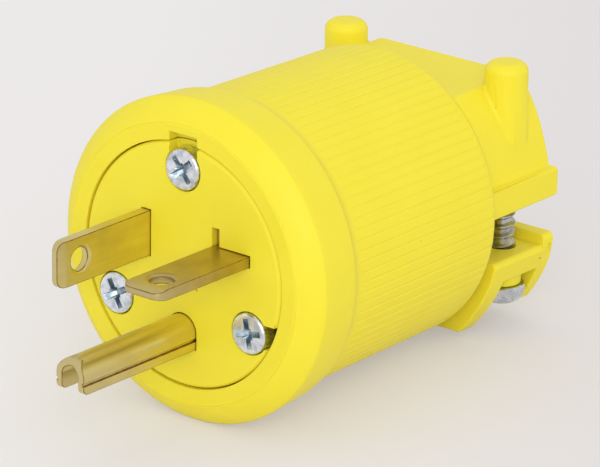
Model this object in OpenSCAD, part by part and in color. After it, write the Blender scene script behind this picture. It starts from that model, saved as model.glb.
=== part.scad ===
// Rewirable grounding plug, 20 A 125 V pattern, with a screw-down cord clamp.
// Millimetres. The origin is the centre of the front face, where the blades come out.
// The plug's axis is Y: the blades point to -Y and the cord leaves to +Y. +Z is up.

/* [Face] */
// Radius of the round face
face_r = 16.85; // [15:0.05:19]
// Thickness of the face insert
face_t = 5.0; // [4:0.1:8]
// Radius of the rounded edge of the face
face_edge = 0.7; // [0.5:0.1:2]
// Gap between the face insert and the housing round it
face_gap = 0.15; // [0.1:0.01:0.3]

/* [Housing] */
// Width of the flange's flat front, out from the recess for the face insert
rim_w = 2.1; // [1:0.1:4]
// Thickness of the flange, out from that recess to its largest radius
flange_w = 5.45; // [4:0.05:9]
// Length of the flange's rounded nose
flange_nose = 2.7; // [1.5:0.1:4]
// Length from the face to the back of the flange
flange_len = 8.8; // [6:0.1:12]
// Thickness of the barrel's wall just behind the flange
barrel_wall = 3.9; // [2:0.1:7]
// How much the barrel's radius shrinks towards the back
barrel_taper = 0.5; // [0:0.1:1]
// Length from the face to the back of the barrel
barrel_len = 41.7; // [38:0.1:60]
// Thickness of the barrel's back wall
back_wall = 2.5; // [2:0.1:5]
// Radius of the rounded back edge of the barrel
back_edge = 1.8; // [0.5:0.1:3]
// Number of fine grip grooves round the barrel
groove_count = 90; // [60:1:110]
// Depth of a grip groove
groove_depth = 0.08; // [0.05:0.01:0.3]

/* [Blades] */
// Width of the two flat blades
blade_w = 6.35; // [5:0.05:8]
// Thickness of the two flat blades
blade_t = 1.52; // [1.2:0.01:2]
// Length of the blades in front of the face
blade_len = 17.9; // [15:0.1:22]
// Height of the blades above the plug's axis
blade_z = 3.2; // [2:0.1:4.5]
// Distance of the upright line blade from the middle
line_x = 6.35; // [5.5:0.05:7.5]
// Distance of the middle of the flat neutral blade from the middle
neutral_x = 8.3; // [7.6:0.05:9.2]
// Radius of the hole near each blade's tip
blade_hole_r = 1.6; // [1:0.1:2]
// Distance of that hole from the tip
blade_hole_in = 4.3; // [3:0.1:5]
// Play of a metal part in its slot in the plastic
slot_gap = 0.1; // [0.05:0.01:0.2]

/* [Ground pin] */
// Width of the U-shaped ground pin
ground_w = 4.75; // [4:0.05:6]
// Depth of the pin from the top of its arch to the ends of its legs
ground_d = 4.6; // [4:0.1:6]
// Thickness of the strip it is bent from
ground_t = 1.0; // [0.8:0.1:1.5]
// Length of the ground pin in front of the face
ground_len = 22.0; // [19:0.1:27]
// Drop from the blades to the centre of the pin's arch
ground_drop = 12.3; // [11.5:0.1:13]

/* [Screws] */
// Distance of the face screws from the edge of the face insert
face_screw_in = 3.55; // [3.2:0.05:4.5]
// Radius of the face screws' pan heads
head_r = 2.85; // [2.4:0.05:3.2]
// Height of those heads
head_h = 2.2; // [1.6:0.1:2.6]
// Radius of the face and clamp screws' shanks
shank_r = 1.75; // [1.4:0.05:1.9]
// Length of a face screw under its head
face_screw_len = 32; // [28:1:36]
// Radial play of a screw in the hole that it turns in
screw_fit = 0.05; // [0.02:0.01:0.08]
// Radial play of a screw in a hole that it only passes
screw_play = 0.2; // [0.15:0.05:0.4]

/* [Terminals] */
// Radius of a terminal screw's head
term_head_r = 3.8; // [3.2:0.1:4]
// Height of a terminal screw's head
term_head_h = 2.1; // [1.6:0.1:2.4]
// Radius of a terminal screw's shank
term_shank_r = 2.05; // [1.8:0.05:2.2]
// Space between a terminal's tab and its pressure plate
wire_space = 1.5; // [1:0.1:1.8]
// Thickness of a pressure plate
plate_t = 1.2; // [0.8:0.1:1.4]
// Length of the terminal block behind the face insert
block_len = 16; // [15:0.5:20]
// Thickness of the wire guide behind the terminal block
guide_t = 3.6; // [2.5:0.1:5]

/* [Cord clamp] */
// Radius of the cord hole in the back wall and between the clamp's ribs
cord_r = 7.8; // [6:0.1:8.5]
// Half the width of the hood's flat roof
roof_half = 12.1; // [10:0.1:14]
// Height of the hood's roof
roof_z = 15.5; // [14:0.1:17]
// Half the width of the hood where it stands on its flange
hood_half = 18.3; // [17.5:0.1:20]
// Half the width across the hood's flange
ledge_half = 19.2; // [18.5:0.1:21]
// Top and thickness of the hood's flange
ledge_z = 3.6; // [3:0.1:5]
ledge_t = 4.1; // [3:0.1:5]
// Length of the hood behind the barrel
hood_len = 14.6; // [13.5:0.1:20]
// Thickness of the hood's skin
hood_wall = 2.3; // [1.6:0.1:2.8]
// Distance of each clamp screw from the middle
boss_x = 14; // [12.6:0.1:15]
// Distance of the clamp screws behind the barrel
boss_y = 9.0; // [8:0.1:10]
// Radius of the round boss over each clamp screw
boss_r = 3.0; // [2.6:0.1:3.6]
// Height of the top of the bosses
boss_z = 18.9; // [18:0.1:21]
// Opening between the hood's flange and the jaw, as set
jaw_gap = 7.0; // [4:0.1:8]
// Half the width across the jaw's wings
jaw_half = 18.4; // [17.5:0.1:20]
// Thickness of the jaw's wings
wing_t = 3.6; // [3:0.1:5]
// Height of the jaw from its wings to its flat foot
jaw_h = 11.3; // [10.5:0.1:14]
// Gap between the jaw and the back of the barrel
jaw_clear = 1.9; // [1:0.1:3]
// Length of the jaw along the cord
jaw_len = 13.0; // [12:0.1:16]
// Thickness of the ribs that grip the cord
rib_t = 1.6; // [1.2:0.1:2.5]
// Length of a clamp screw under its head
clamp_screw_len = 20.9; // [20:0.1:24]
// Radius of the clamp screws' pan heads
clamp_head_r = 3.25; // [2.8:0.05:3.4]
// Height of those heads
clamp_head_h = 2.7; // [1.6:0.1:3.2]

/* [Hidden] */
eps = 0.01;
cut = 1;            // how far a cutter runs past what it cuts
$fn = 96;

yellow = "#f6e03c";
ivory = "#d9d3bf";
brass = "#b99a3e";
zinc = "#c9cdd0";
nickel = "#b8b6ad";
green = "#3f7a4a";

cavity_r = face_r + face_gap;
rim_r = cavity_r + rim_w;                     // where the flat front of the flange ends
flange_r = cavity_r + flange_w;
barrel_r = cavity_r + barrel_wall;
face_screw_pcr = face_r - face_screw_in;
back_in = barrel_len - back_wall;             // inner face of the back wall
barrel_back_r = barrel_r - barrel_taper;
foot_y = flange_len + 1.7;                    // front of the barrel, behind the flange's blended foot
inner_r = face_r - 0.25;                      // the block and guide, a little loose in the cavity
stack_gap = 0.2;                              // gap between the stacked insulators
block_y = face_t + stack_gap;
guide_y = block_y + block_len + stack_gap;
post_y = guide_y + guide_t + stack_gap;       // front of the housing's screw posts
post_r = 3.2;
screw_angles = [90, -30, 210];                // top, right and left face screws
pocket_r = head_r + 0.15;                     // pocket in the face round a screw head
pocket_d = head_h - 0.35;                     // the heads stand this little short of their pockets' depth
cross_half = 2.1;                             // half the length, the width and the depth of a cross recess
cross_w = 0.7;
cross_d = 1.3;
cross_turns = [40, 15, 25];                   // how the three face screws came to rest
notch_w = 4.8;                                // notch in the rim above the top screw
notch_h = 1.25;
notch_d = 1.8;
side_slot_w = 3.4;                            // break-out of the right screw's pocket
ground_z = blade_z - ground_drop;             // centre of the ground pin's arch
ground_leg = ground_d - ground_w / 2;         // straight part of its legs
neutral_in = neutral_x - blade_w / 2;         // inner edge of the neutral blade
key_slot_h = blade_w + 0.3;                   // upright branch of the neutral blade's slot
key_slot_w = 1.3;
root_t = key_slot_w - 2 * slot_gap;           // the neutral blade's root stands upright in that branch
root_y = 1.0;                                 // and starts this far behind the face
rim_line_r = rim_r + 0.2;                     // a fine mould line round the flange's front
rim_line = 0.12;

term_y = block_y + 7.8;                       // the three terminal screws stand here
tab_y0 = block_y + 1.8;                       // front and back of the terminal tabs
tab_y1 = block_y + block_len - 2.2;
tab_h = 8.8;
line_term_z = blade_z + 1.8;                  // height of the line terminal's screw
neutral_term_z = blade_z + blade_t / 2 + term_head_r + 0.1;
line_face = line_x + blade_t / 2;             // outer faces of the tabs, measured from the middle
neutral_face = neutral_in + blade_t;
ground_face = -ground_z + 0.8;
plate_side = 8.4;
term_bite = 2.0;                              // how far a terminal screw runs past its tab
wire_r = 2.3;

hood_end = barrel_len + hood_len;
ledge_low = ledge_z - ledge_t;                // underside of the hood's flange
boss_at = barrel_len + boss_y;
boss_hole_top = boss_z - 3.2;
back_rib = 2.2;                               // back walls of the hood and of the jaw
rib_places = [barrel_len + 3.6, boss_at];     // the hood's two inner ribs

jaw_top = ledge_low - jaw_gap;
jaw_foot = jaw_top - jaw_h;
jaw_y0 = barrel_len + jaw_clear;
jaw_y1 = jaw_y0 + jaw_len;
jaw_front_wall = 3.2;                         // walls across the jaw's two ends
jaw_back_wall = 2.2;
jaw_rim = 1.4;                                // the back wall stands this far over the wings
jaw_skin = 2.0;
jaw_waist = [jaw_half - 0.8, jaw_top - jaw_h / 2 + 0.15];
jaw_foot_half = 12.3;
jaw_back_lift = 2.4;                          // the back wall ends this far short of the front wall's foot
jaw_block_lift = 1.6;                         // and the middle block this far
saddle_half = 9.2;                            // half the width of the jaw's middle block
saddle_r = 11;                                // curve of the ribs under the cord
saddle_low = cord_r + 0.4;                    // depth of that curve below the plug's axis
saddle_rib = 3.4;                             // height of the ribs over the trough
seat_z = jaw_top - 5.3;                       // where a clamp screw's head bears on the jaw
seat_r = 2.7;

// A flat outline drawn in X and Z, drawn out along Y from y0 to y1.
module along_y(y0, y1) {
    translate([0, y1, 0]) rotate([90, 0, 0]) linear_extrude(y1 - y0) children();
}

// A profile drawn in radius and Y, turned about the plug's axis.
module turned() {
    rotate([-90, 0, 0]) rotate_extrude() children();
}

// A cylinder along Y.
module rod_y(r, y0, y1) {
    translate([0, y0, 0]) rotate([-90, 0, 0]) cylinder(r = r, h = y1 - y0);
}

// Places children at one of the face screws.
module at_face_screw(i) {
    a = screw_angles[i];
    translate([face_screw_pcr * cos(a), 0, face_screw_pcr * sin(a)]) children();
}

// A box from its low corner to its high corner.
module block(low, high) {
    translate(low) cube(high - low);
}

function bezier(a, b, c, t) = a * (1 - t) * (1 - t) + b * 2 * t * (1 - t) + c * t * t;
function arc(centre, r, a0, a1, n) =
    [for (i = [0:n]) centre + r * [cos(a0 + (a1 - a0) * i / n), sin(a0 + (a1 - a0) * i / n)]];
function mirrored(points) = [for (i = [len(points) - 1:-1:0]) [-points[i][0], points[i][1]]];

// ---- Housing: flange, barrel, back wall and the fixed upper half of the cord clamp ----

// The flange's nose: flatter than a quarter round, as its two ends are blended less.
flange_points = [for (a = [20:10:90])
    [rim_r + (flange_r - rim_r) * pow(sin(a), 1.5), flange_nose * (1 - pow(cos(a), 1.5))]];

module housing_shell() {
    turned() polygon(concat(
        [[0, 0], [rim_line_r - rim_line, 0], [rim_line_r, rim_line], [rim_line_r + rim_line, rim_line / 2]],
        flange_points,
        [[flange_r - 0.5, flange_len],
         [flange_r - 0.7, flange_len + 0.6],
         [(flange_r + barrel_r) / 2 - 0.4, flange_len + 1.2],
         [barrel_r, foot_y]],
        arc([barrel_back_r - back_edge, barrel_len - back_edge], back_edge, 0, 90, 6),
        [[0, barrel_len]]));
}

// Fine grooves along the tapered barrel, for grip.
module grip_grooves() {
    groove_r = 0.3;
    start = foot_y + 1.2;
    end = barrel_len - back_edge + 1.2;       // past the start of the rounded edge, where it runs out
    lean = atan(barrel_taper / (barrel_len - back_edge - foot_y));
    for (k = [0:groove_count - 1]) rotate([0, (k + 0.5) * 360 / groove_count, 0])
        translate([barrel_r + groove_r - groove_depth, foot_y, 0]) rotate([0, 0, lean])
            rod_y(groove_r, start - foot_y, end - foot_y);
}

// Half outline of the hood's curved side, taken in by inset.
function hood_side(inset) = [for (t = [0.125:0.125:1]) bezier(
    [hood_half - inset, ledge_low],
    [hood_half - 1.4 - inset, (ledge_z + roof_z) / 2 + 1.2 - inset / 2],
    [roof_half - inset * 0.6, roof_z - inset], t)];

// The hood's outline; down carries it on below the hood's underside, for a cutter.
module hood_outline(inset, down = 0) {
    half = concat([[hood_half - inset, ledge_low - down]], hood_side(inset));
    polygon(concat(half, mirrored(half)));
}

module hood() {
    start = barrel_len - back_edge - 0.6;      // the hood grows out of the barrel's rounded back edge
    difference() {
        union() {
            difference() {
                union() {
                    along_y(start, hood_end) hood_outline(0);
                    block([-ledge_half, start, ledge_low], [ledge_half, hood_end, ledge_z]);
                }
                along_y(barrel_len, hood_end - back_rib) hood_outline(hood_wall, cut);
            }
            for (y = rib_places)
                along_y(y - rib_t / 2, y + rib_t / 2) hood_outline(hood_wall / 2);
            for (side = [-1, 1]) translate([side * boss_x, boss_at, 0]) boss();
        }
        rod_y(cord_r, start - cut, hood_end + cut);
        block([-cord_r, barrel_len, ledge_low - cut], [cord_r, hood_end + cut, 0]);
        for (side = [-1, 1]) translate([side * boss_x, boss_at, ledge_low - cut])
            cylinder(r = shank_r + screw_fit, h = boss_hole_top - ledge_low + cut);
    }
}

// The round boss over a clamp screw, with a rounded top.
module boss() {
    crown = 1.4;
    rotate_extrude() polygon(concat(
        [[0, ledge_low], [boss_r, ledge_low]],
        arc([boss_r - crown, boss_z - crown], crown, 0, 90, 6),
        [[0, boss_z]]));
}

// A post for a face screw, joined to the barrel's wall by a web.
module screw_post(i) {
    web_t = 2;
    rotate([0, -screw_angles[i], 0]) along_y(post_y, back_in + cut) {
        translate([face_screw_pcr, 0]) circle(r = post_r);
        translate([face_screw_pcr, -web_t / 2]) square([cavity_r + cut - face_screw_pcr, web_t]);
    }
}

module housing() {
    color(yellow) difference() {
        union() {
            difference() {
                housing_shell();
                grip_grooves();
                rod_y(cavity_r, -cut, back_in);
            }
            for (i = [0:2]) screw_post(i);
            hood();
        }
        rod_y(cord_r, back_in - cut, barrel_len + cut);
        for (i = [0:2]) at_face_screw(i)
            rod_y(shank_r + screw_fit, post_y - cut, pocket_d + face_screw_len + cut);
        block([-notch_w / 2, -cut, 0], [notch_w / 2, notch_d, face_r + notch_h]);
    }
}

// ---- Face insert ----

// Cross-section of the ground pin: an arch on two legs, grown by g all round.
module ground_outline(g) {
    r = ground_w / 2 + g;
    circle(r = r);
    translate([-r, -ground_leg - g]) square([2 * r, ground_leg + g]);
}

module blade_slots(y0, y1) {
    g = slot_gap;
    block([-line_face - g, y0, blade_z - blade_w / 2 - g],
          [-line_face + blade_t + g, y1, blade_z + blade_w / 2 + g]);
    block([neutral_in - g, y0, blade_z - blade_t / 2 - g],
          [neutral_in + blade_w + g, y1, blade_z + blade_t / 2 + g]);
    block([neutral_in - g, y0, blade_z - key_slot_h / 2],
          [neutral_in - g + key_slot_w, y1, blade_z + key_slot_h / 2]);
    translate([0, 0, ground_z]) along_y(y0, y1) ground_outline(g);
}

module face_insert() {
    color(yellow) difference() {
        turned() polygon(concat(
            [[0, 0]],
            arc([face_r - face_edge, face_edge], face_edge, -90, 0, 6),
            [[face_r, face_t], [0, face_t]]));
        blade_slots(-cut, face_t + cut);
        for (i = [0:2]) at_face_screw(i) {
            rod_y(pocket_r, -cut, pocket_d);
            rod_y(shank_r + screw_play, -cut, face_t + cut);
        }
        block([-notch_w / 2, -cut, face_screw_pcr], [notch_w / 2, notch_d, face_r + cut]);
        at_face_screw(1) block([head_r / 2, -cut, -side_slot_w / 2], [face_r, face_t + cut, side_slot_w / 2]);
    }
}

// ---- Insulators inside ----

module screw_passages(y0, y1) {
    for (i = [0:2]) at_face_screw(i) rod_y(shank_r + screw_play, y0, y1);
}

// Where the three conductors run, as [x, z].
wire_places = [
    [-line_face - wire_space / 2, line_term_z],
    [neutral_face + wire_space / 2, neutral_term_z],
    [0, -ground_face - wire_space / 2]];

// The three terminals: line to the left, neutral to the right, ground below. Each child stands on
// the outer face of its tab, with +Z pointing outwards.
module at_terminal(k) {
    if (k == 0) translate([-line_face, term_y, line_term_z]) rotate([0, -90, 0]) children();
    if (k == 1) translate([neutral_face, term_y, neutral_term_z]) rotate([0, 90, 0]) children();
    if (k == 2) translate([0, term_y, -ground_face]) rotate([180, 0, 0]) children();
}
tab_thickness = [blade_t, blade_t, ground_t];

module terminal_block() {
    y1 = block_y + block_len;
    room = 0.2;                               // play round the terminal tabs
    far = inner_r + cut;
    color(ivory) difference() {
        rod_y(inner_r, block_y, y1);
        blade_slots(block_y - cut, tab_y0 + 2);
        screw_passages(block_y - cut, y1 + cut);
        block([-far, tab_y0 - room, line_term_z - tab_h / 2 - room],
              [-line_face + blade_t + slot_gap, tab_y1 + room, line_term_z + tab_h / 2 + room]);
        block([neutral_in - slot_gap, tab_y0 - room, blade_z - blade_t / 2 - room],
              [far, tab_y1 + room, neutral_term_z + term_head_r + 2 * room]);
        block([-plate_side / 2 - room, tab_y0 - room, -far],
              [plate_side / 2 + room, tab_y1 + room, -ground_face + ground_t + slot_gap]);
        for (w = wire_places) translate([w[0], 0, w[1]]) rod_y(wire_r, tab_y1, y1 + cut);
        for (k = [0:2]) at_terminal(k) translate([0, 0, -tab_thickness[k] - term_bite - room])
            cylinder(r = term_shank_r + screw_play, h = term_bite + cut);
    }
}

module wire_guide() {
    color(ivory) difference() {
        rod_y(inner_r, guide_y, guide_y + guide_t);
        screw_passages(guide_y - cut, guide_y + guide_t + cut);
        for (w = wire_places) translate([w[0], 0, w[1]]) {
            rod_y(wire_r, guide_y - cut, guide_y + guide_t + cut);
            translate([0, guide_y + guide_t / 2, 0]) rotate([-90, 0, 0])
                cylinder(r1 = wire_r, r2 = wire_r + 1.2, h = guide_t / 2 + eps);
        }
    }
}

// ---- Blades and ground pin ----

// A flat blade lying on its side: width along X, thickness along Z, tip at -blade_len.
// Its tip has rounded corners and is coined thinner on both faces.
module flat_blade(back) {
    corner = 1.3;
    coin = 1.9;                               // length of the coined tip
    thin = 0.32;                              // taken off each face there
    tip = -blade_len;
    half = blade_w / 2;
    intersection() {
        translate([0, 0, -blade_t]) linear_extrude(2 * blade_t) polygon(concat(
            [[half, back], [-half, back]],
            arc([-half + corner, tip + corner], corner, 180, 270, 6),
            arc([half - corner, tip + corner], corner, 270, 360, 6)));
        rotate([90, 0, 90]) translate([0, 0, -blade_w]) linear_extrude(2 * blade_w) polygon([
            [tip, -blade_t / 2 + thin], [tip + coin, -blade_t / 2], [back, -blade_t / 2],
            [back, blade_t / 2], [tip + coin, blade_t / 2], [tip, blade_t / 2 - thin]]);
    }
}

// The hole near a blade's tip, dished on both faces.
module tip_hole() {
    dish = 0.6;
    dish_d = 0.3;
    translate([0, -blade_len + blade_hole_in, 0]) {
        cylinder(r = blade_hole_r, h = 4 * blade_t, center = true);
        for (side = [0, 1]) mirror([0, 0, side]) translate([0, 0, blade_t / 2 - dish_d])
            cylinder(r1 = blade_hole_r, r2 = blade_hole_r + 2 * dish, h = 2 * dish_d);
    }
}

module tapped_hole(k) {
    at_terminal(k) translate([0, 0, -tab_thickness[k] - cut])
        cylinder(r = term_shank_r + screw_fit, h = tab_thickness[k] + 2 * cut);
}

module line_blade() {
    color(brass) difference() {
        union() {
            translate([-line_face + blade_t / 2, 0, blade_z]) rotate([0, -90, 0]) difference() {
                flat_blade(tab_y0 + 1);
                tip_hole();
            }
            block([-line_face, tab_y0, line_term_z - tab_h / 2],
                  [-line_face + blade_t, tab_y1, line_term_z + tab_h / 2]);
        }
        tapped_hole(0);
    }
}

module neutral_blade() {
    color(brass) difference() {
        union() {
            translate([neutral_x, 0, blade_z]) difference() {
                flat_blade(tab_y0 + 1.5);
                tip_hole();
            }
            block([neutral_in, root_y, blade_z - blade_w / 2],
                  [neutral_in + root_t, tab_y0 + 1, blade_z + blade_w / 2]);
            block([neutral_in, tab_y0, blade_z - blade_t / 2],
                  [neutral_face, tab_y1, neutral_term_z + term_head_r]);
        }
        tapped_hole(1);
    }
}

module ground_pin() {
    slope = 3.0;                              // length of the rounded nose
    drop = 1.3;                               // how far the nose comes down
    toe = 0.9;                                // radius of the legs' lower corners
    groove = 0.25;                            // pressed line along each leg
    top = ground_z + ground_w / 2;
    low = ground_z - ground_leg;
    color(brass) difference() {
        union() {
            intersection() {
                translate([0, 0, ground_z]) along_y(-ground_len, tab_y0 + 1) difference() {
                    ground_outline(0);
                    circle(r = ground_w / 2 - ground_t);
                    translate([-ground_w / 2 + ground_t, -ground_leg - cut])
                        square([ground_w - 2 * ground_t, ground_leg + cut]);
                    for (side = [-1, 1]) translate([side * ground_w / 2, -0.8])
                        square([2 * groove, 0.35], center = true);
                }
                rotate([90, 0, 90]) translate([0, 0, -ground_w]) linear_extrude(2 * ground_w) polygon(concat(
                    [[tab_y0 + 2, low], [tab_y0 + 2, top + cut], [-ground_len + slope, top + cut]],
                    [for (t = [0:0.2:1]) bezier([-ground_len + slope, top], [-ground_len + 0.5, top],
                                                [-ground_len, top - drop], t)],
                    arc([-ground_len + toe, low + toe], toe, 180, 270, 5)));
            }
            block([-plate_side / 2, tab_y0, -ground_face], [plate_side / 2, tab_y1, -ground_face + ground_t]);
        }
        tapped_hole(2);
    }
}

// ---- Terminal screws and pressure plates ----

module terminal_screw(k) {
    seat = wire_space + plate_t;
    low = -tab_thickness[k] - term_bite;
    top = seat + term_head_h;
    slot_w = 1.2;
    slot_d = 1.1;
    at_terminal(k) difference() {
        rotate_extrude() polygon([
            [0, low], [term_shank_r - 0.5, low], [term_shank_r, low + 0.5], [term_shank_r, seat],
            [term_head_r, seat], [term_head_r, top - 0.5], [term_head_r - 0.7, top], [0, top]]);
        block([-term_head_r - cut, -slot_w / 2, top - slot_d], [term_head_r + cut, slot_w / 2, top + cut]);
    }
}

// A square plate with two turned-down lips that grip the strands.
module pressure_plate(k) {
    lip = 0.9;
    half = plate_side / 2;
    at_terminal(k) difference() {
        union() {
            block([-half, -half, wire_space], [half, half, wire_space + plate_t]);
            for (side = [-1, 1]) translate([0, side * (half - lip / 2), wire_space - lip / 2])
                cube([plate_side, lip, lip + eps], center = true);
        }
        translate([0, 0, wire_space - cut]) cylinder(r = term_shank_r + screw_play / 2, h = plate_t + 2 * cut);
    }
}

// ---- Pan-head screws ----

// A pan-head screw standing on its seat: head above z = 0, shank below, cross recess in the head.
module pan_screw(length, r, h, crown) {
    point = 0.8;
    difference() {
        rotate_extrude() polygon(concat(
            [[0, -length], [shank_r - point, -length], [shank_r, -length + point], [shank_r, 0], [r, 0]],
            arc([r - crown, h - crown], crown, 0, 60, 5),
            [[0, h]]));
        for (a = [0, 90]) rotate([0, 0, a]) translate([0, 0, h])
            cube([2 * cross_half, cross_w, 2 * cross_d], center = true);
    }
}

module face_screw(i) {
    color(zinc) at_face_screw(i) translate([0, pocket_d, 0]) rotate([90, 0, 0])
        rotate([0, 0, cross_turns[i]]) pan_screw(face_screw_len, head_r, head_h, 0.5);
}

module clamp_screw(side) {
    color(zinc) translate([side * boss_x, boss_at, seat_z - screw_fit]) rotate([180, 0, 0])
        pan_screw(clamp_screw_len, clamp_head_r, clamp_head_h, 2);
}

// ---- Cord clamp jaw ----

// Outline of the jaw's end walls: sides drawn in towards a flat foot.
module jaw_outline(top) {
    shoulder = 0.8;
    half = concat(
        arc([jaw_half - shoulder, top - shoulder], shoulder, 90, 0, 4),
        [for (t = [0.125:0.125:1]) bezier([jaw_half, jaw_top], jaw_waist, [jaw_foot_half, jaw_foot], t)]);
    polygon(concat(half, mirrored(half)));
}

// The hollow under the cord. The ribs come up to saddle_r; the trough between them lies deeper.
module saddle_curve(deeper) {
    intersection() {
        translate([0, saddle_r - saddle_low]) circle(r = saddle_r + deeper);
        translate([-saddle_half + 1, jaw_foot]) square([2 * saddle_half - 2, -jaw_foot]);
    }
}

module clamp_jaw() {
    floor_z = -saddle_low - saddle_rib - jaw_skin;
    inner0 = jaw_y0 + jaw_front_wall;
    inner1 = jaw_y1 - jaw_back_wall;
    rib0 = boss_at - rib_t / 2;
    rib1 = boss_at + rib_t / 2;
    color(yellow) difference() {
        union() {
            along_y(jaw_y0, inner0) jaw_outline(jaw_top);
            along_y(inner1, jaw_y1) jaw_outline(jaw_top + jaw_rim);
            along_y(jaw_y0 + cut, jaw_y1 - cut) intersection() {
                jaw_outline(jaw_top);
                translate([-jaw_half, jaw_top - wing_t]) square([2 * jaw_half, wing_t]);
            }
            block([-saddle_half, inner0 - cut, jaw_foot + jaw_block_lift],
                  [saddle_half, inner1 + cut, jaw_top]);
            for (side = [-1, 1]) translate([side * boss_x, boss_at, seat_z])
                cylinder(r = seat_r, h = jaw_top - seat_z);
        }
        block([-jaw_half, inner1, jaw_foot - cut], [jaw_half, jaw_y1 + cut, jaw_foot + jaw_back_lift]);
        along_y(jaw_y0 - cut, jaw_y1 + cut) saddle_curve(0);
        along_y(inner0, rib0) saddle_curve(saddle_rib);
        along_y(rib1, inner1) saddle_curve(saddle_rib);
        block([-saddle_half + jaw_skin, inner0, jaw_foot - cut], [saddle_half - jaw_skin, inner1, floor_z]);
        for (side = [-1, 1]) translate([side * boss_x, boss_at, seat_z - cut])
            cylinder(r = shank_r + screw_fit, h = jaw_top - seat_z + 2 * cut);
    }
}

housing();
face_insert();
terminal_block();
wire_guide();
line_blade();
neutral_blade();
ground_pin();
color(brass) terminal_screw(0);  // line_screw
color(nickel) terminal_screw(1);  // neutral_screw
color(green) terminal_screw(2);  // ground_screw
color(zinc) pressure_plate(0);  // line_plate
color(zinc) pressure_plate(1);  // neutral_plate
color(zinc) pressure_plate(2);  // ground_plate
face_screw(0);  // face_screw_top
face_screw(1);  // face_screw_right
face_screw(2);  // face_screw_left
clamp_jaw();
clamp_screw(1);  // clamp_screw_right
clamp_screw(-1);  // clamp_screw_left
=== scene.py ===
# %% [markdown]
# # A rewirable plug, dressed for the camera
# The plug comes from its CAD model, packed as a fixed frame of named nodes. This notebook gives
# every node the surface that the real part has, and rebuilds the few whose small features, such as
# threads and cross recesses, the CAD leaves plain.

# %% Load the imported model
import math

import bmesh
import bpy
from mathutils import Matrix, Vector


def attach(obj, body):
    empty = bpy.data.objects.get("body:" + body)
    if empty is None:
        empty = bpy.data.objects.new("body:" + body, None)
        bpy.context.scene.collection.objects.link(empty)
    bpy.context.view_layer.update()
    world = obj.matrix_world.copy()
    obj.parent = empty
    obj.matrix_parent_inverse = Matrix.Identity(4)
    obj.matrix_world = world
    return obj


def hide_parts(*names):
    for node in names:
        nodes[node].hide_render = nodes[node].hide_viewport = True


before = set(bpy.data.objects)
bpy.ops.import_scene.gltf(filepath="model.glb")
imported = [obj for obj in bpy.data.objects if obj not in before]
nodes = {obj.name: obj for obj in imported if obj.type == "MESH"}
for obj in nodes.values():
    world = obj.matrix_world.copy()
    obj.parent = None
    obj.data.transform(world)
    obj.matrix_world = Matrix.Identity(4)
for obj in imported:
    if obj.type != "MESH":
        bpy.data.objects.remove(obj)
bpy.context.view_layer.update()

# %% [markdown]
# ## Millimetres
# A plug is drawn in millimetres, and Blender's unit is the metre. The scene's unit could be
# changed, but lamps and bump distances would still count in metres, so every size here is in
# millimetres and one short function turns it.

# %% Millimetres to metres
def mm(value):
    """Millimetres to metres, for one number or a point."""
    if isinstance(value, (int, float)):
        return value / 1000
    return Vector(value) / 1000


print("a blade 6.35 mm wide is", mm(6.35), "m wide")

# %% [markdown]
# ## The camera
# A small product like this is best seen from some way off through a long lens, so that its
# round face and its far end keep nearly the same scale. The camera stands 0.7 m away, looks down
# by about twenty degrees, and sees the face from its right front corner. Its aim is worked out
# from three angles, because a constraint that tracks an object would not let it roll.

# %% Which way the camera looks
AZIMUTH, ELEVATION, ROLL = 39.5, 19.86, 0.72        # degrees

a, e, roll = (math.radians(v) for v in (AZIMUTH, ELEVATION, ROLL))
look = Vector((-math.sin(a) * math.cos(e), math.cos(a) * math.cos(e), -math.sin(e)))
right = Vector((math.cos(a), math.sin(a), 0))
up = right.cross(look)
right, up = (
    math.cos(roll) * right + math.sin(roll) * up,
    -math.sin(roll) * right + math.cos(roll) * up,
)
print("the camera looks along", [round(v, 3) for v in look])

# %% [markdown]
# ## The lens
# The focal length is known in pixels of the frame, and a sensor's width turns it to millimetres.
# The plug's face is left of and below the middle of the frame, so the camera steps right and up
# by what that is at the plug's distance. A lens shift would frame it as well, but it would push
# the plug off the middle in other views.

# %% The lens and its place
DISTANCE = 700.0                                    # from the middle of the plug's face
FRAME_PX = (600, 467)
ORIGIN_PX = (182.27, 265.46)                        # where the middle of the face falls
FOCAL_PX = 5340.24
SENSOR = 36.0

shift_x = (ORIGIN_PX[0] - FRAME_PX[0] / 2) / FOCAL_PX * DISTANCE
shift_y = -(ORIGIN_PX[1] - FRAME_PX[1] / 2) / FOCAL_PX * DISTANCE
eye = -shift_x * right - shift_y * up - DISTANCE * look

camera_data = bpy.data.cameras.new("camera")
camera_data.sensor_width = SENSOR
camera_data.lens = FOCAL_PX / FRAME_PX[0] * SENSOR
camera_data.clip_start, camera_data.clip_end = 0.01, 20
camera = bpy.data.objects.new("camera", camera_data)
bpy.context.scene.collection.objects.link(camera)
bpy.context.scene.camera = camera
turn = Matrix((right, up, -look)).transposed().to_4x4()
camera.matrix_world = Matrix.Translation(mm(eye)) @ turn
print("lens, mm:", round(camera_data.lens, 1), "at", [round(v, 3) for v in mm(eye)])

# %% [markdown]
# ## Materials from nodes
# Each finish of the plug is a small shader graph. It could be drawn in the Shader Editor, but a
# script can be read, compared and run again. One function adds a node of any kind with its
# settings and links, so a material reads as a list of what it is made of. A colour is given as
# a screen shows it, in sRGB, while a shader adds up light, which is linear, so a second
# function turns the hex code.

# %% Nodes and colours
def socket_of(node, name):
    """A node's input by its name, with _ for a space, or by i0, i1, ... for its number."""
    if name[0] == "i" and name[1:].isdigit():
        return node.inputs[int(name[1:])]
    return node.inputs[name.replace("_", " ")]


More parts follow.
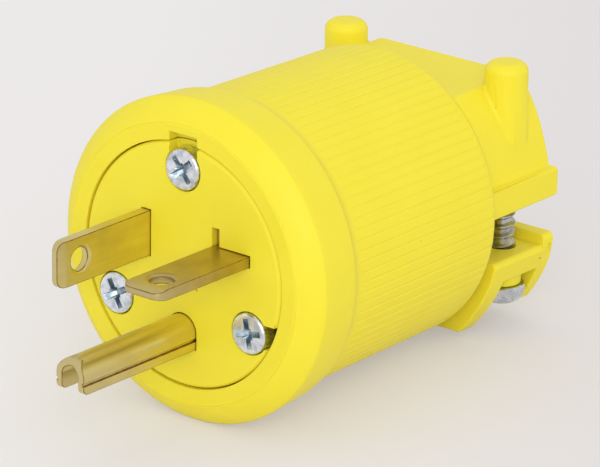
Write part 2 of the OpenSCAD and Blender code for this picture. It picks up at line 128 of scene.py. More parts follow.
def add(tree, kind, settings=None, **links):
    """Adds a shader node. settings fill its properties or sockets, and links join its sockets
    to the outputs of other nodes."""
    node = tree.nodes.new("ShaderNode" + kind)
    for name, value in (settings or {}).items():
        if hasattr(node, name):
            setattr(node, name, value)
        else:
            socket_of(node, name).default_value = value
    for name, output in links.items():
        tree.links.new(output, socket_of(node, name))
    return node


def new_material(name):
    """A material with no nodes yet, and its node tree."""
    material = bpy.data.materials.new(name)
    material.use_nodes = True
    material.node_tree.nodes.clear()
    return material, material.node_tree


def srgb(hex_code):
    """A colour such as "#c9a94a" as linear RGBA."""
    parts = [int(hex_code[i : i + 2], 16) / 255 for i in (1, 3, 5)]
    return [((c + 0.055) / 1.055) ** 2.4 if c > 0.04045 else c / 12.92 for c in parts] + [1.0]


print("half grey on a screen is", round(srgb("#808080")[0], 3), "in light")

# %% [markdown]
# ## Moulded nylon
# The housing, face and jaw are injection-moulded nylon, coloured through. A mould leaves the
# surface smooth and slightly waxy. Its gloss drifts over a few millimetres, and the flow of the
# plastic leaves it a little uneven, with a few dark flecks of charred material. A low
# subsurface share lets light soften the edges, as it does in real nylon. Each pattern is a
# noise in the object's own coordinates, because an image would need unwrapping. A Mix node's
# factor, first and second colour are its sockets 0, 6 and 7, and its colour leaves at 2.

# %% Yellow nylon
NYLON, NYLON_DEEP, FLECK = "#f2e33a", "#eede30", "#8f7a1c"


def yellow_nylon():
    """Waxy yellow with a slow drift of colour and gloss, flow marks and rare flecks."""
    material, tree = new_material("yellow_moulded_nylon")
    place = add(tree, "TexCoord").outputs["Object"]
    cloud = add(tree, "TexNoise", {"Scale": 160.0, "Detail": 3.0}, Vector=place)   # about 6 mm
    shade = add(tree, "Mix", {"data_type": "RGBA", "i6": srgb(NYLON_DEEP), "i7": srgb(NYLON)},
                i0=cloud.outputs["Fac"])
    cells = add(tree, "TexVoronoi", {"Scale": 190.0}, Vector=place)                # one in 5 mm
    spot = add(tree, "MapRange", {"From Min": 0.05, "From Max": 0.028},            # 0.2 mm across
               Value=cells.outputs["Distance"])
    rare = add(tree, "MapRange", {"From Min": 0.52, "From Max": 0.56}, Value=cloud.outputs["Fac"])
    fleck = add(tree, "Math", {"operation": "MULTIPLY"}, i0=spot.outputs[0], i1=rare.outputs[0])
    colour = add(tree, "Mix", {"data_type": "RGBA", "i7": srgb(FLECK)},
                 i0=fleck.outputs[0], i6=shade.outputs[2])
    rough = add(tree, "MapRange", {"To Min": 0.44, "To Max": 0.54}, Value=cloud.outputs["Fac"])
    waves = add(tree, "TexNoise", {"Scale": 450.0, "Detail": 3.0}, Vector=place)   # 2 mm flow marks
    bump = add(tree, "Bump", {"Strength": 0.25, "Distance": mm(0.06)}, Height=waves.outputs["Fac"])
    shader = add(tree, "BsdfPrincipled",
                 {"IOR": 1.53, "Specular IOR Level": 0.27, "Subsurface Weight": 0.12,
                  "Subsurface Scale": mm(1.5), "Subsurface Radius": (1.0, 0.8, 0.2)},
                 Base_Color=colour.outputs[2], Roughness=rough.outputs[0], Normal=bump.outputs[0])
    add(tree, "OutputMaterial", Surface=shader.outputs[0])
    return material


nylon = yellow_nylon()
print(nylon.name, "has", len(nylon.node_tree.nodes), "nodes")

# %% [markdown]
# ## Rolled brass
# The blades and pin are stamped from rolled brass strip. Rolling leaves faint lines along the
# strip, so one noise is stretched along Y. Real lines are finer than the render can show, so they
# are drawn about 0.7 mm apart. Handling leaves a brownish film in patches, more on one blade than
# on the rest, and the tips, which rub in an outlet, are greyer.

# %% Brass
STRIP_DULL, STRIP_BRIGHT, FILM, RUBBED_TIP = "#d8c880", "#f0e39b", "#b19a60", "#cdbf8c"
TIP_FROM, TIP_TO = -11, -18                         # mm in front of the face, along Y


def rolled_brass(name, least, most):
    """Rolled brass strip, with a brown film that covers it from least to most, from 0 to 1."""
    material, tree = new_material(name)
    place = add(tree, "TexCoord").outputs["Object"]
    along = add(tree, "Mapping", {"Scale": (1, 0.08, 1)}, Vector=place)
    lines = add(tree, "TexNoise", {"Scale": 1400.0, "Detail": 3.0},                # 0.7 mm
                Vector=along.outputs[0])
    strip = add(tree, "Mix",
                {"data_type": "RGBA", "i6": srgb(STRIP_DULL), "i7": srgb(STRIP_BRIGHT)},
                i0=lines.outputs["Fac"])
    patch = add(tree, "TexNoise", {"Scale": 170.0, "Detail": 4.0}, Vector=place)   # 6 mm
    film = add(tree, "MapRange",
               {"From Min": 0.3, "From Max": 0.7, "To Min": least, "To Max": most},
               Value=patch.outputs["Fac"])
    handled = add(tree, "Mix", {"data_type": "RGBA", "i7": srgb(FILM)},
                  i0=film.outputs[0], i6=strip.outputs[2])
    depth = add(tree, "SeparateXYZ", Vector=place)
    tip = add(tree, "MapRange",
              {"From Min": mm(TIP_FROM), "From Max": mm(TIP_TO), "To Max": 0.6},
              Value=depth.outputs["Y"])
    colour = add(tree, "Mix", {"data_type": "RGBA", "i7": srgb(RUBBED_TIP)},
                 i0=tip.outputs[0], i6=handled.outputs[2])
    rough = add(tree, "MapRange", {"To Min": 0.27, "To Max": 0.45}, Value=patch.outputs["Fac"])
    bump = add(tree, "Bump", {"Strength": 0.2, "Distance": mm(0.04)}, Height=lines.outputs["Fac"])
    shader = add(tree, "BsdfPrincipled", {"Metallic": 1.0}, Base_Color=colour.outputs[2],
                 Roughness=rough.outputs[0], Normal=bump.outputs[0])
    add(tree, "OutputMaterial", Surface=shader.outputs[0])
    return material


brass = rolled_brass("rolled_brass_strip", 0.0, 0.3)
handled_brass = rolled_brass("handled_brass_strip", 0.5, 1.0)
print(brass.name, "and", handled_brass.name, "greyer from", TIP_FROM, "to", TIP_TO, "mm")

# %% [markdown]
# ## Plated and dyed steel
# The screws and pressure plates are steel with a thin plating. Barrel plating leaves them bluish,
# shiny and a little dented from knocking together, with a cloudy mottle about a millimetre wide. A
# thread is rolled and coloured greyer than the head, and a cross recess has painted shade, darker
# and bluer, as it sees little of the sky. The green terminal screw is dyed. They differ only in
# colour, gloss and dents, so one function makes them all. It also makes the darker brass of a
# stamping's edge strips.

# %% Plating
def mottled_metal(name, light, dark, rough, dents=0.1):
    """A metal that is mottled from light to dark, with knocks in its surface."""
    material, tree = new_material(name)
    place = add(tree, "TexCoord").outputs["Object"]
    mottle = add(tree, "TexNoise", {"Scale": 1100.0, "Detail": 3.0}, Vector=place)   # 0.9 mm
    cloud = add(tree, "MapRange", {"From Min": 0.35, "From Max": 0.62},
                Value=mottle.outputs["Fac"])
    colour = add(tree, "Mix", {"data_type": "RGBA", "i6": srgb(dark), "i7": srgb(light)},
                 i0=cloud.outputs[0])
    gloss = add(tree, "MapRange", {"To Min": rough + 0.14, "To Max": rough},
                Value=cloud.outputs[0])
    bump = add(tree, "Bump", {"Strength": dents, "Distance": mm(0.08)},
               Height=mottle.outputs["Fac"])
    shader = add(tree, "BsdfPrincipled", {"Metallic": 1.0}, Base_Color=colour.outputs[2],
                 Roughness=gloss.outputs[0], Normal=bump.outputs[0])
    add(tree, "OutputMaterial", Surface=shader.outputs[0])
    return material


zinc = mottled_metal("bright_zinc_plate", "#eef2f8", "#c4ccd8", 0.22, 0.25)
smooth_zinc = mottled_metal("smooth_zinc_plate", "#d6dae0", "#bcc2cb", 0.14, 0.06)
# a thread's colour: greyer and darker than the head's plating
greyer_thread_zinc = mottled_metal("greyer_zinc_thread", "#c8c9ca", "#a0a2a4", 0.3)
nickel = mottled_metal("nickel_plate", "#d8d5cc", "#b9b6ad", 0.2)
green = mottled_metal("green_dyed_steel", "#4d9c62", "#357548", 0.3)
# painted shade: a cross recess gets a darker, bluer zinc, as it sees little of the sky
painted_recess_shade_zinc = mottled_metal("zinc_with_painted_recess_shade", "#bccad3", "#8fa2ae", 0.3)
# a darker colour on a stamping's rounded edge strips
brass_edge = mottled_metal("darker_brass_edge", "#a98c4c", "#86693a", 0.36)
metals = (zinc, smooth_zinc, greyer_thread_zinc, nickel, green, painted_recess_shade_zinc, brass_edge)
print("metals:", [metal.name for metal in metals])

# %% [markdown]
# ## Phenolic
# The block that holds the terminals, and the guide behind it, are hard phenolic in ivory. Its
# wood-flour filler gives it a fine mottle and takes off the shine. It is inside the housing and
# hardly seen, so one noise does for colour and bump.

# %% Ivory phenolic
IVORY, IVORY_DARK = "#dcd6c4", "#cbc4ae"


def phenolic():
    """Dull ivory with a fine mottle."""
    material, tree = new_material("ivory_moulded_phenolic")
    place = add(tree, "TexCoord").outputs["Object"]
    mottle = add(tree, "TexNoise", {"Scale": 700.0, "Detail": 4.0}, Vector=place)  # 1.4 mm
    colour = add(tree, "Mix", {"data_type": "RGBA", "i6": srgb(IVORY_DARK), "i7": srgb(IVORY)},
                 i0=mottle.outputs["Fac"])
    bump = add(tree, "Bump", {"Strength": 0.2, "Distance": mm(0.05)}, Height=mottle.outputs["Fac"])
    shader = add(tree, "BsdfPrincipled", {"Roughness": 0.55, "IOR": 1.6},
                 Base_Color=colour.outputs[2], Normal=bump.outputs[0])
    add(tree, "OutputMaterial", Surface=shader.outputs[0])
    return material


ivory = phenolic()
print(ivory.name, "has", len(ivory.node_tree.nodes), "nodes")

# %% [markdown]
# ## From a bmesh to a piece
# Every piece ends the same way: specks that a bevel or a cut leaves are merged, faces are shaded
# smooth with hard edges kept hard, and a Weighted Normal modifier evens out the flats.

# %% Finish a piece
SPECK = 0.0004                                      # mm, what a bevel leaves too small to keep
HARD_EDGE = 40.0                                    # degrees


def finish_piece(bm, name, material, slot, body, *stands_for):
    """Turns a bmesh to a piece that rides on a body and replaces CAD nodes. Its material may be
    a tuple, of which each face's material index picks one."""
    bmesh.ops.remove_doubles(bm, verts=bm.verts, dist=mm(SPECK))
    bmesh.ops.dissolve_degenerate(bm, edges=bm.edges, dist=mm(SPECK))
    for face in bm.faces:
        face.smooth = True
    for edge in bm.edges:
        edge.smooth = edge.calc_face_angle(0) < math.radians(HARD_EDGE)
    mesh = bpy.data.meshes.new(name)
    bm.to_mesh(mesh)
    bm.free()
    for finish in material if isinstance(material, tuple) else (material,):
        mesh.materials.append(finish)
    piece = bpy.data.objects.new(name, mesh)
    bpy.context.scene.collection.objects.link(piece)
    flat = piece.modifiers.new("even_flats", "WEIGHTED_NORMAL")
    flat.keep_sharp = True
    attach(piece, body)
    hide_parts(*stands_for)
    print(f"{name}: {len(mesh.vertices)} vertices, {len(mesh.polygons)} faces")
    return piece


print("edges of more than", HARD_EDGE, "degrees stay hard")

# %% [markdown]
# ## Softened copies
# A moulded or stamped part has no knife edges: plastic leaves the mould with a small radius on
# every corner, and a stamping is tumbled to take off its burrs. The CAD meshes are exact but
# sharp. A Bevel modifier would round them all by one width. Here each node is copied, its loose
# triangles are merged and its flat areas joined again, and each sharp edge gets the width that
# its place on the part asks for. That narrow strip catches the light, which makes an edge look
# real. On a stamping the strip has a darker finish of its own.

# %% Round the edges of a copy
SAME_POINT, SLIVER = 0.003, 0.001                   # mm, in the CAD's triangles
SAME_PLANE, SHARP_EDGE = 0.6, 35.0                  # degrees between two faces


def softened(node, name, material, slot, body, *widths):
    """A copy of a CAD node with its sharp edges rounded. Each of widths is a radius in mm and a
    function that says of a place in mm whether an edge there gets it."""
    bm = bmesh.new()
    bm.from_mesh(nodes[node].data)
    bmesh.ops.remove_doubles(bm, verts=bm.verts, dist=mm(SAME_POINT))
    bmesh.ops.dissolve_degenerate(bm, edges=bm.edges, dist=mm(SLIVER))
    bmesh.ops.dissolve_limit(bm, angle_limit=math.radians(SAME_PLANE), verts=bm.verts,
                             edges=bm.edges)
    for width, wanted in widths:
        edges = [edge for edge in bm.edges
                 if edge.is_manifold
                 and wanted(1000 * sum((v.co for v in edge.verts), Vector()) / 2)
                 and edge.calc_face_angle(0) > math.radians(SHARP_EDGE)]
        strips = bmesh.ops.bevel(bm, geom=edges, offset=mm(width), offset_type="OFFSET",
                                 segments=3, profile=0.5, affect="EDGES", clamp_overlap=False,
                                 material=-1)
        if isinstance(material, tuple):
            for face in strips["faces"]:
                face.material_index = 1
    return finish_piece(bm, name, material, slot, body, node)


print("edges of more than", SHARP_EDGE, "degrees are rounded where a rule wants them")

# %% [markdown]
# ## Edges by place
# The hood of the cord clamp is rounded by half a millimetre, as a thick moulding is. The flange
# runs down to the barrel in a soft hollow. The gap round the face disc has nearly sharp edges, or
# it would look wide and dark, except on the disc's right, where the real gap is open. The 90 grip
# grooves and the mould line on the flange are too fine to bevel. Edges could be picked by their
# number, but that would break with the next change of the CAD, and a rule about place does not.

# %% Rules for edges
BARREL_FRONT, BARREL_BACK, GROOVED_R = 10.4, 39.9, 20.0     # the grooved part of the barrel
FOOT_FRONT, FOOT_BACK = 10.2, 10.8                          # where the flange meets it
HOOD_FRONT = 42.3
RECESS_R, FACE_R = 17.6, 16.6                               # round the face disc
MOULD_LINE_R = (18.9, 19.8)
NOTCH_HALF, NOTCH_LOW, NOTCH_DEEP = 2.7, 16.0, 3.0          # over the top screw


def from_axis(place):
    """How far a place is from the plug's axis, in mm."""
    return math.hypot(place.x, place.z)


def everywhere(place):
    """True for every edge of a piece."""
    return True


def on_the_hood(place):
    """True on the fixed half of the cord clamp."""
    return place.y > HOOD_FRONT


def flange_foot(place):
    """True in the hollow where the flange runs down to the barrel."""
    return FOOT_FRONT < place.y < FOOT_BACK and from_axis(place) > GROOVED_R


def inside_the_rim(place):
    """True round the gap between disc and flange, and in the notch over the top screw."""
    in_the_notch = abs(place.x) < NOTCH_HALF and place.z > NOTCH_LOW and place.y < NOTCH_DEEP
    return in_the_notch or (place.y < 1 and from_axis(place) < RECESS_R)


def right_of_the_face(place):
    """True on the right half of the face disc's own edge."""
    return place.y < 1 and place.x > 2 and from_axis(place) > FACE_R


def off_the_grooves(place):
    """True where none of the other rules holds, and no groove or mould line is."""
    grooved = BARREL_FRONT < place.y < BARREL_BACK and from_axis(place) > GROOVED_R
    mould_line = place.y < 0.5 and MOULD_LINE_R[0] < from_axis(place) < MOULD_LINE_R[1]
    return not (grooved or mould_line or on_the_hood(place) or inside_the_rim(place))


print("grooved from", BARREL_FRONT, "to", BARREL_BACK, "mm, hood from", HOOD_FRONT)

# %% [markdown]
# ## Plastic parts
# Three yellow mouldings make the outside: the housing with its hood, the face disc, and the jaw
# that the clamp screws draw up. The block and guide are two ivory ones inside. They are all
# copies of their nodes, because the CAD already has their walls, posts and pockets.

# %% Mouldings
softened("housing", "housing_moulding", nylon, "nylon", "plug_body",
         (1.0, flange_foot), (0.5, on_the_hood), (0.06, inside_the_rim), (0.3, off_the_grooves))
softened("face_insert", "face_moulding", nylon, "nylon", "plug_body",
         (0.3, right_of_the_face), (0.07, everywhere))
softened("clamp_jaw", "jaw_moulding", nylon, "nylon", "clamp_jaw", (0.25, everywhere))
for node in ("terminal_block", "wire_guide"):
    softened(node, node + "_moulding", ivory, "phenolic", "plug_body", (0.15, everywhere))

# %% [markdown]
# ## Stamped and turned parts
# The blades and pin are brass stampings, with a darker line along each edge. Each wire is held
# down by a plate under a terminal screw, and the screws' colours say which wire goes where: brass
# for line, silver for neutral, green for ground. The CAD has their shapes, slots and all, so they
# are softened copies too.

# %% Metal parts
for node, finish in (("line_blade", brass), ("neutral_blade", handled_brass),
                     ("ground_pin", brass)):
    softened(node, node + "_stamping", (finish, brass_edge), "brass", "plug_body",
             (0.1, everywhere))
for node in ("line_plate", "neutral_plate", "ground_plate"):
    softened(node, node + "_stamping", zinc, "zinc_plated", "plug_body", (0.15, everywhere))
for node, finish, slot in (("line_screw", brass, "brass"),
                           ("neutral_screw", nickel, "nickel_plated"),
                           ("ground_screw", green, "green_screw")):
    softened(node, node + "_turned", finish, slot, "plug_body", (0.12, everywhere))

# %% [markdown]
# ## A screw's blank
# A pan-head machine screw is three shapes: a low domed head, a cross recess whose four wings
# narrow towards the bottom, and a shank with a rolled thread. Head and core are one profile spun
# about the screw's axis, as a lathe would turn them. Cylinders could be joined instead, but
# would leave a seam under the head.

# %% Spin a profile
ROUND_STEPS = 64                                    # facets round a screw's head
CROWN_STEP = 12                                     # degrees between the crown's rings
TIP_IN, TIP_BACK, NECK, HEAD_EDGE = 0.45, 0.6, 0.3, 0.12    # chamfers, mm
ON_AXIS = 0.002                                     # mm, nearer points are one


def spun(points):
    """A closed solid from (radius, height) points in mm, turned about Z."""
    bm = bmesh.new()
    verts = [bm.verts.new(mm((r, 0, z))) for r, z in points]
    for one, two in zip(verts, verts[1:]):
        bm.edges.new((one, two))
    bmesh.ops.spin(bm, geom=bm.verts[:] + bm.edges[:], cent=(0, 0, 0), axis=(0, 0, 1),
                   angle=math.tau, steps=ROUND_STEPS, use_merge=True)
    bmesh.ops.remove_doubles(bm, verts=bm.verts, dist=mm(ON_AXIS))
    bmesh.ops.recalc_face_normals(bm, faces=bm.faces)
    return bm


def screw_profile(size):
    """The outline of half a screw: core, thread-free neck, underside and crown."""
    r, h, crown = size["head_r"], size["head_h"], size["crown"]
    root, crest, end = size["root"], size["crest"], size["thread_to"]
    profile = [(0, -size["length"]), (root - TIP_IN, -size["length"]),
               (root, -size["length"] + TIP_BACK), (root, -end - TIP_BACK),
               (root, -size["thread_from"]), (crest, -size["thread_from"] + NECK), (crest, 0),
               (r - HEAD_EDGE, 0), (r, HEAD_EDGE)]
    for step in range(0, 84, CROWN_STEP):
        angle = math.radians(step)
        profile.append((r - crown + crown * math.cos(angle), h - crown + crown * math.sin(angle)))
    return profile + [(0, h)]


print("a screw's blank is turned in", ROUND_STEPS, "steps")

# %% [markdown]
# ## The cross recess
# The recess is cut by two crossed wedges and a small square pit with the Boolean modifier,
# because the edges where they meet are hard to draw by hand. The modifier needs objects, so the
# bmeshes become objects for a moment. It hands its points over in any order, so they are sorted
# by place, and the screw comes out the same each run. Where the cuts cross the spun facets it
# leaves slivers, and these are merged before the lips of the recess are rounded.

# %% Cut the recess
RECESS_DEPTH, WING_W = 1.2, 0.9                     # mm
WING_FOOT = (0.35, 0.6, 1)                          # a wing's foot, as a share of its top
PIT_DEPTH, PIT_LOW, PIT_HIGH = 1.0, 0.3, 1.1        # depth, and radii at foot and top
CUT_SPECK, CUT_SLIVER = 0.07, 0.02                  # what the cuts leave too small to keep
LIP_R, LIP_ANGLE = 0.06, 30.0                       # the lips' radius, and the least degrees
LIP_INSET, LIP_DEPTH = 0.15, 1.6                    # in from the head's side, down from its top


def cross_recess(length, top, turned):
    """Three cutters for a cross recess: two crossed wedges, narrower at the bottom, and a square
    pit that widens the middle."""
    cutters = []
    for k in (0, 1):
        bm = bmesh.new()
        bmesh.ops.create_cube(bm, size=1.0)
        bmesh.ops.scale(bm, vec=mm((length, WING_W, RECESS_DEPTH)), verts=bm.verts)
        low = [v for v in bm.verts if v.co.z < 0]
        bmesh.ops.scale(bm, vec=WING_FOOT, verts=low)
        bmesh.ops.rotate(bm, matrix=Matrix.Rotation(k * math.pi / 2, 3, "Z"), verts=bm.verts)
        cutters.append(bm)
    pit = bmesh.new()
    bmesh.ops.create_cone(pit, cap_ends=True, segments=4, radius1=mm(PIT_LOW),
                          radius2=mm(PIT_HIGH), depth=mm(PIT_DEPTH))
    bmesh.ops.rotate(pit, matrix=Matrix.Rotation(math.pi / 4, 3, "Z"), verts=pit.verts)
    bmesh.ops.translate(pit, vec=mm((0, 0, (RECESS_DEPTH - PIT_DEPTH) / 2)), verts=pit.verts)
    cutters.append(pit)
    for bm in cutters:
        bmesh.ops.translate(bm, vec=mm((0, 0, top - RECESS_DEPTH / 2)), verts=bm.verts)
        bmesh.ops.rotate(bm, matrix=Matrix.Rotation(turned, 3, "Z"), verts=bm.verts)
    return cutters


def as_object(bm, name):
    """A plain object from a bmesh, for a modifier to work on."""
    mesh = bpy.data.meshes.new(name)
    bm.to_mesh(mesh)
    bm.free()
    made = bpy.data.objects.new(name, mesh)
    bpy.context.scene.collection.objects.link(made)
    return made


def in_order(bm):
    """Sorts a bmesh by place and rebuilds it in that order."""
    for parts in (bm.verts, bm.edges, bm.faces):
        places = {part: sorted(v.co[:] for v in getattr(part, "verts", [part])) for part in parts}
        rank = {part: i for i, part in enumerate(sorted(parts, key=places.get))}
        parts.sort(key=rank.get)
        parts.index_update()
    ordered = bpy.data.meshes.new("ordered")
    bm.to_mesh(ordered)
    bm.clear()
    bm.from_mesh(ordered)
    bpy.data.meshes.remove(ordered)


def cut_with(bm, cutters):
    """Cuts each cutter bmesh out of bm, and returns the result, sorted by place."""
    blank = as_object(bm, "blank")
    tools = []
    for cutter in cutters:
        tool = as_object(cutter, "tool")
        step = blank.modifiers.new("cut", "BOOLEAN")
        step.operation, step.solver, step.object = "DIFFERENCE", "EXACT", tool
        tools.append(tool)
    graph = bpy.context.evaluated_depsgraph_get()
    result = bmesh.new()
    result.from_mesh(blank.evaluated_get(graph).to_mesh())
    for used in tools + [blank]:
        used_mesh = used.data
        bpy.data.objects.remove(used)
        bpy.data.meshes.remove(used_mesh)
    in_order(result)
    return result


def round_the_lips(bm, size):
    """Merges what the cuts left too small, and rounds the upper edges of the recess."""
    bmesh.ops.remove_doubles(bm, verts=bm.verts, dist=mm(CUT_SPECK))
    bmesh.ops.dissolve_degenerate(bm, edges=bm.edges, dist=mm(CUT_SLIVER))
    bmesh.ops.dissolve_limit(bm, angle_limit=math.radians(SAME_PLANE), verts=bm.verts,
                             edges=bm.edges)
    bm.normal_update()
    lips = [edge for edge in bm.edges
            if edge.is_manifold and edge.calc_face_angle(0) > math.radians(LIP_ANGLE)
            and max(v.co.to_2d().length for v in edge.verts) < mm(size["head_r"] - LIP_INSET)
            and edge.verts[0].co.z > mm(size["head_h"] - LIP_DEPTH)]
    bmesh.ops.bevel(bm, geom=lips, offset=mm(LIP_R), offset_type="OFFSET", segments=2,
                    profile=0.5, affect="EDGES", clamp_overlap=True, material=-1)


print("the recess is", RECESS_DEPTH, "mm deep, its wings", WING_W, "mm wide")

# %% [markdown]
# ## The thread
# A rolled thread is a ridge that winds up the core. A stack of rings would look nearly the same,
# but its section, a small flat-topped triangle, spun with a steady step forward, is a real
# helix. It overlaps the core a little, as two closed solids, which saves a Boolean of several
# thousand faces.

# %% Wind the thread
THREAD_STEPS = 20                                   # facets in a turn
FOOT_HALF, CREST_HALF = 0.42, 0.06                  # the ridge's half widths, in pitches
ROOTED = 0.15                                       # how deep its foot is in the core, mm


def helix(bm, size):
    """Adds a thread's ridge to bm: its section spun about Z, rising by the pitch each turn."""
    pitch, start = size["pitch"], -size["thread_to"]
    turns = (size["thread_to"] - size["thread_from"]) / pitch
    foot, crest = size["root"] - ROOTED, size["crest"]
    corners = [bm.verts.new(mm((r, 0, start + z))) for r, z in
               ((foot, -FOOT_HALF * pitch), (crest, -CREST_HALF * pitch),
                (crest, CREST_HALF * pitch), (foot, FOOT_HALF * pitch))]
    bmesh.ops.spin(bm, geom=[bm.faces.new(corners)], cent=(0, 0, 0), axis=(0, 0, 1),
                   dvec=mm((0, 0, pitch / THREAD_STEPS)), angle=math.tau * turns,
                   steps=int(THREAD_STEPS * turns))
    bmesh.ops.recalc_face_normals(bm, faces=bm.faces)


print("a thread's ridge has", THREAD_STEPS, "facets in a turn")

# %% [markdown]
# ## A whole screw
# One function makes any of the five screws from a table of sizes. A screw is built upright on
# the origin, where its faces are sorted by place: plated, the greyer thread, or the recess with
# its painted shade. Then it is moved in the mesh itself. Its object could be moved instead, but
# every object here stays unturned at the origin, as the CAD's do.

# %% Make a screw
PLATED, GREYER_THREAD, IN_PAINTED_RECESS_SHADE = 0, 1, 2                   # the order of a screw's finishes
HAIR = 0.02                                         # mm, so that a cut goes through the crown
UNDER_HEAD = -0.1                                   # the thread's finish starts here, mm
SUNK_FROM, SUNK_TO, WING_END = 0.12, 1.25, 0.15     # the recess's finish, in from top and ends


def finish_of(middle, size):
    """Which finish a face of a screw has, by the place of its middle in mm."""
    if middle.z < UNDER_HEAD:
        return GREYER_THREAD
    # faces low in the recess's wings get the painted recess shade
    sunk = size["head_h"] - SUNK_TO < middle.z < size["head_h"] - SUNK_FROM
    in_a_wing = middle.to_2d().length < size["cross"] / 2 - WING_END
    return IN_PAINTED_RECESS_SHADE if sunk and in_a_wing else PLATED


def screw(name, node, body, size, plating, turned, place):
    """A cross-recessed machine screw on a body. Its recess is turned by an angle, and place is the
    matrix that takes it from upright on the origin to its seat."""
    bm = spun(screw_profile(size))
    bm = cut_with(bm, cross_recess(size["cross"], size["head_h"] + HAIR, turned))
    round_the_lips(bm, size)
    helix(bm, size)
    print(name, "open edges:", sum(not edge.is_manifold for edge in bm.edges))
    for face in bm.faces:
        face.material_index = finish_of(1000 * face.calc_center_median(), size)
    bmesh.ops.transform(bm, matrix=place, verts=bm.verts)
    return finish_piece(bm, name, (plating, greyer_thread_zinc, painted_recess_shade_zinc), "zinc_plated", body, node)


print("finishes of a screw:", greyer_thread_zinc.name, "and", painted_recess_shade_zinc.name, "with its plating")

# %% [markdown]
# ## Face screws
# Three long screws hold the face, block and guide against posts inside the housing. Their heads
# lie in pockets of the face disc, a third of a turn apart. Each could be a copy of one screw, but
# each recess stopped at its own angle.

# %% Face screws
# Sizes are in mm. The thread's two are counted down from under the head.
FACE_SCREW = {"head_r": 2.85, "head_h": 2.2, "crown": 0.5, "cross": 4.4, "length": 32.0,
              "root": 1.4, "crest": 1.75, "pitch": 1.41, "thread_from": 6.0, "thread_to": 31.0}
FACE_SCREW_RING, FACE_SEAT = 13.3, 1.85             # from the axis, and behind the face
forward = Matrix.Rotation(math.pi / 2, 4, "X")      # +Z of the screw points to -Y

for where, angle, turned in (("top", 90, 0.7), ("right", -30, 0.2), ("left", 210, 0.5)):
    around = math.radians(angle)
    seat = (FACE_SCREW_RING * math.cos(around), FACE_SEAT, FACE_SCREW_RING * math.sin(around))
    screw("machine_screw_" + where, "face_screw_" + where, "plug_body", FACE_SCREW, zinc, turned,
          Matrix.Translation(mm(seat)) @ forward)

# %% [markdown]
# ## Clamp screws
# Two screws come up from below through the jaw and draw it to the hood. Their heads are rounder
# and smoother than the face screws', and their threads show between jaw and hood. Each could be
# joined to the jaw, but it rides on a body of its own, which turns as the jaw slides.

# %% Clamp screws
CLAMP_SCREW = {"head_r": 3.25, "head_h": 2.7, "crown": 2.0, "cross": 4.0, "length": 20.9,
               "root": 1.36, "crest": 1.75, "pitch": 1.41, "thread_from": 0.4, "thread_to": 19.9}
CLAMP_X, CLAMP_Y, CLAMP_SEAT = 14.0, 50.7, -12.85
downward = Matrix.Rotation(math.pi, 4, "X")

for where, side in (("right", 1), ("left", -1)):
    node = "clamp_screw_" + where
    screw("clamp_machine_screw_" + where, node, node, CLAMP_SCREW, smooth_zinc, 0.6,
          Matrix.Translation(mm((side * CLAMP_X, CLAMP_Y, CLAMP_SEAT))) @ downward)

# %% [markdown]
# ## The sheet of paper
# The plug lies on the edge of its flange and on the back edge of its tapered barrel, so the paper
# is a plane through those two edges, a few degrees off the plug's own level. The plug could be
# tilted on a level sheet instead, but the CAD's frame stays where it is.

# %% Floor
FLOOR_FRONT = Vector((0, 2.7, -22.46))              # under the flange's edge
FLOOR_BACK = Vector((0, 39.9, -20.41))              # under the barrel's back edge
FLOOR_HALF = 3000                                   # half the sheet's width

tilt = math.atan2(FLOOR_BACK.z - FLOOR_FRONT.z, FLOOR_BACK.y - FLOOR_FRONT.y)
bm = bmesh.new()
bmesh.ops.create_grid(bm, x_segments=2, y_segments=2, size=mm(FLOOR_HALF))
floor = as_object(bm, "floor")
floor.matrix_world = Matrix.Translation(mm(FLOOR_FRONT)) @ Matrix.Rotation(tilt, 4, "X")
print("floor tilt, degrees:", round(math.degrees(tilt), 2))

# %% [markdown]
# ## Seen, or lit by
# Matt paper in a light tent is bright all over, and its shadows are pale. More lamps would make
# the paper as bright, but would bleach the plug. So the paper and the world each have two
# answers: one for the light that they give, and one for what the camera sees, straight on, in a
# reflection or through glass. The Light Path node tells them apart. Part of the paper glows to
# the camera alone, which keeps the shadow pale, and painted shade makes the sheet a little
# greyer to the right.

# %% Paper
# painted shade: the paper's colour greys towards the camera's right
PAPER_LEFT, PAPER_RIGHT_PAINTED_SHADE, PAPER_GLOW = "#f1eeee", "#ded9da", "#e9e6e6"
PAINTED_SHADE_FROM, PAINTED_SHADE_TO = -10, 70                    # mm to the camera's right
GLOW_SHARE = 0.42


def looked_at(tree):
    """1 for a ray that shows the surface to the camera, and 0 for one that gathers light."""
    ray = add(tree, "LightPath").outputs
    either = add(tree, "Math", {"operation": "MAXIMUM"},
                 i0=ray["Is Camera Ray"], i1=ray["Is Glossy Ray"])
    return add(tree, "Math", {"operation": "MAXIMUM"}, i0=either.outputs[0],
               i1=ray["Is Transmission Ray"]).outputs[0]


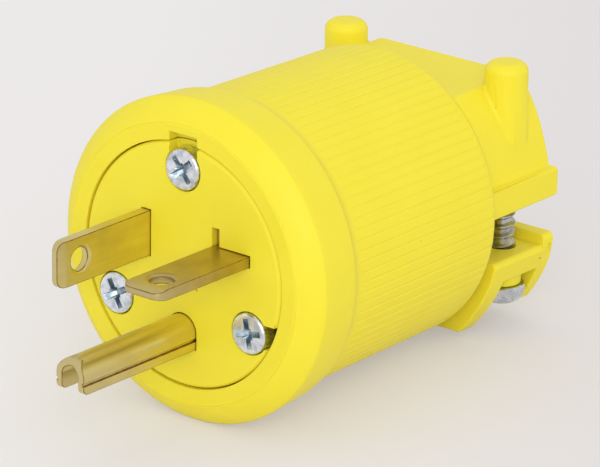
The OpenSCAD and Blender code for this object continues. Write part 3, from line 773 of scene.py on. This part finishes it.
paper, tree = new_material("matt_white_paper")
place = add(tree, "TexCoord").outputs["Object"]
across = add(tree, "Mapping", {"Rotation": (0, 0, -math.radians(AZIMUTH))}, Vector=place)
sideways = add(tree, "SeparateXYZ", Vector=across.outputs[0])
# painted shade: the paper darkens from left to right across the camera's view
painted_shade_ramp = add(tree, "MapRange", {"From Min": mm(PAINTED_SHADE_FROM), "From Max": mm(PAINTED_SHADE_TO)},
           Value=sideways.outputs["X"])
shade = add(tree, "Mix", {"data_type": "RGBA", "i6": srgb(PAPER_LEFT), "i7": srgb(PAPER_RIGHT_PAINTED_SHADE)},
            i0=painted_shade_ramp.outputs[0])
sheet = add(tree, "BsdfPrincipled", {"Roughness": 0.9, "Specular IOR Level": 0.1},
            Base_Color=shade.outputs[2])
glow = add(tree, "Emission", {"Color": srgb(PAPER_GLOW)})
seen = add(tree, "Math", {"operation": "MULTIPLY", "i1": GLOW_SHARE}, i0=looked_at(tree))
both = add(tree, "MixShader", i0=seen.outputs[0], i1=sheet.outputs[0], i2=glow.outputs[0])
add(tree, "OutputMaterial", Surface=both.outputs[0])
floor.data.materials.append(paper)
print(paper.name, "glows to the camera by", GLOW_SHARE)

# %% [markdown]
# ## The light tent
# In a tent the light comes from everywhere, so the world does most of the work: plain white, a
# little under full strength. A ring of lamps could do it too, but each would show as a bright
# spot in the screws' heads. The camera sees a warm pale grey behind the paper instead of white.

# %% World
TENT_STRENGTH, BACKDROP_STRENGTH = 0.86, 1.0        # 1 is full white

world = bpy.data.worlds.new("light_tent")
bpy.context.scene.world = world
world.use_nodes = True
tree = world.node_tree
tree.nodes.clear()
sky = add(tree, "Background", {"Color": srgb("#ffffff"), "Strength": TENT_STRENGTH})
backdrop = add(tree, "Background",
               {"Color": srgb("#e8e6e4"), "Strength": BACKDROP_STRENGTH})
mixed = add(tree, "MixShader", i0=looked_at(tree), i1=sky.outputs[0], i2=backdrop.outputs[0])
add(tree, "OutputWorld", Surface=mixed.outputs[0])
print(world.name, "gives", TENT_STRENGTH, "of full white")

# %% [markdown]
# ## Three soft lamps
# A large lamp like a window, behind the camera and a little above it, lifts what faces the
# camera. A weak one overhead lifts the top, and a weak sheet beside the clamp lifts its near
# flank. They stand more than a metre away, so that their light is even over the plug. One strong
# lamp would throw a hard shadow. The Standard view shows colours as they are written.

# %% Lamps
AIM = (0, 20, 0)                                    # the middle of the plug


def area_light(name, place, size, watts):
    """A square lamp at a place in mm, turned to the plug."""
    data = bpy.data.lights.new(name, "AREA")
    data.size, data.energy = mm(size), watts
    light = bpy.data.objects.new(name, data)
    bpy.context.scene.collection.objects.link(light)
    light.location = mm(place)
    light.rotation_euler = (mm(AIM) - mm(place)).to_track_quat("-Z", "Y").to_euler()
    print(f"{name}: {watts} W, {size} mm across, {mm(place).length:.2f} m away")


area_light("window", (900, -1050, 600), 800, 7.5)
area_light("ceiling", (150, 400, 1300), 1000, 0.3)
area_light("side_sheet", (1100, 450, 60), 900, 0.7)
bpy.context.scene.view_settings.view_transform = "Standard"
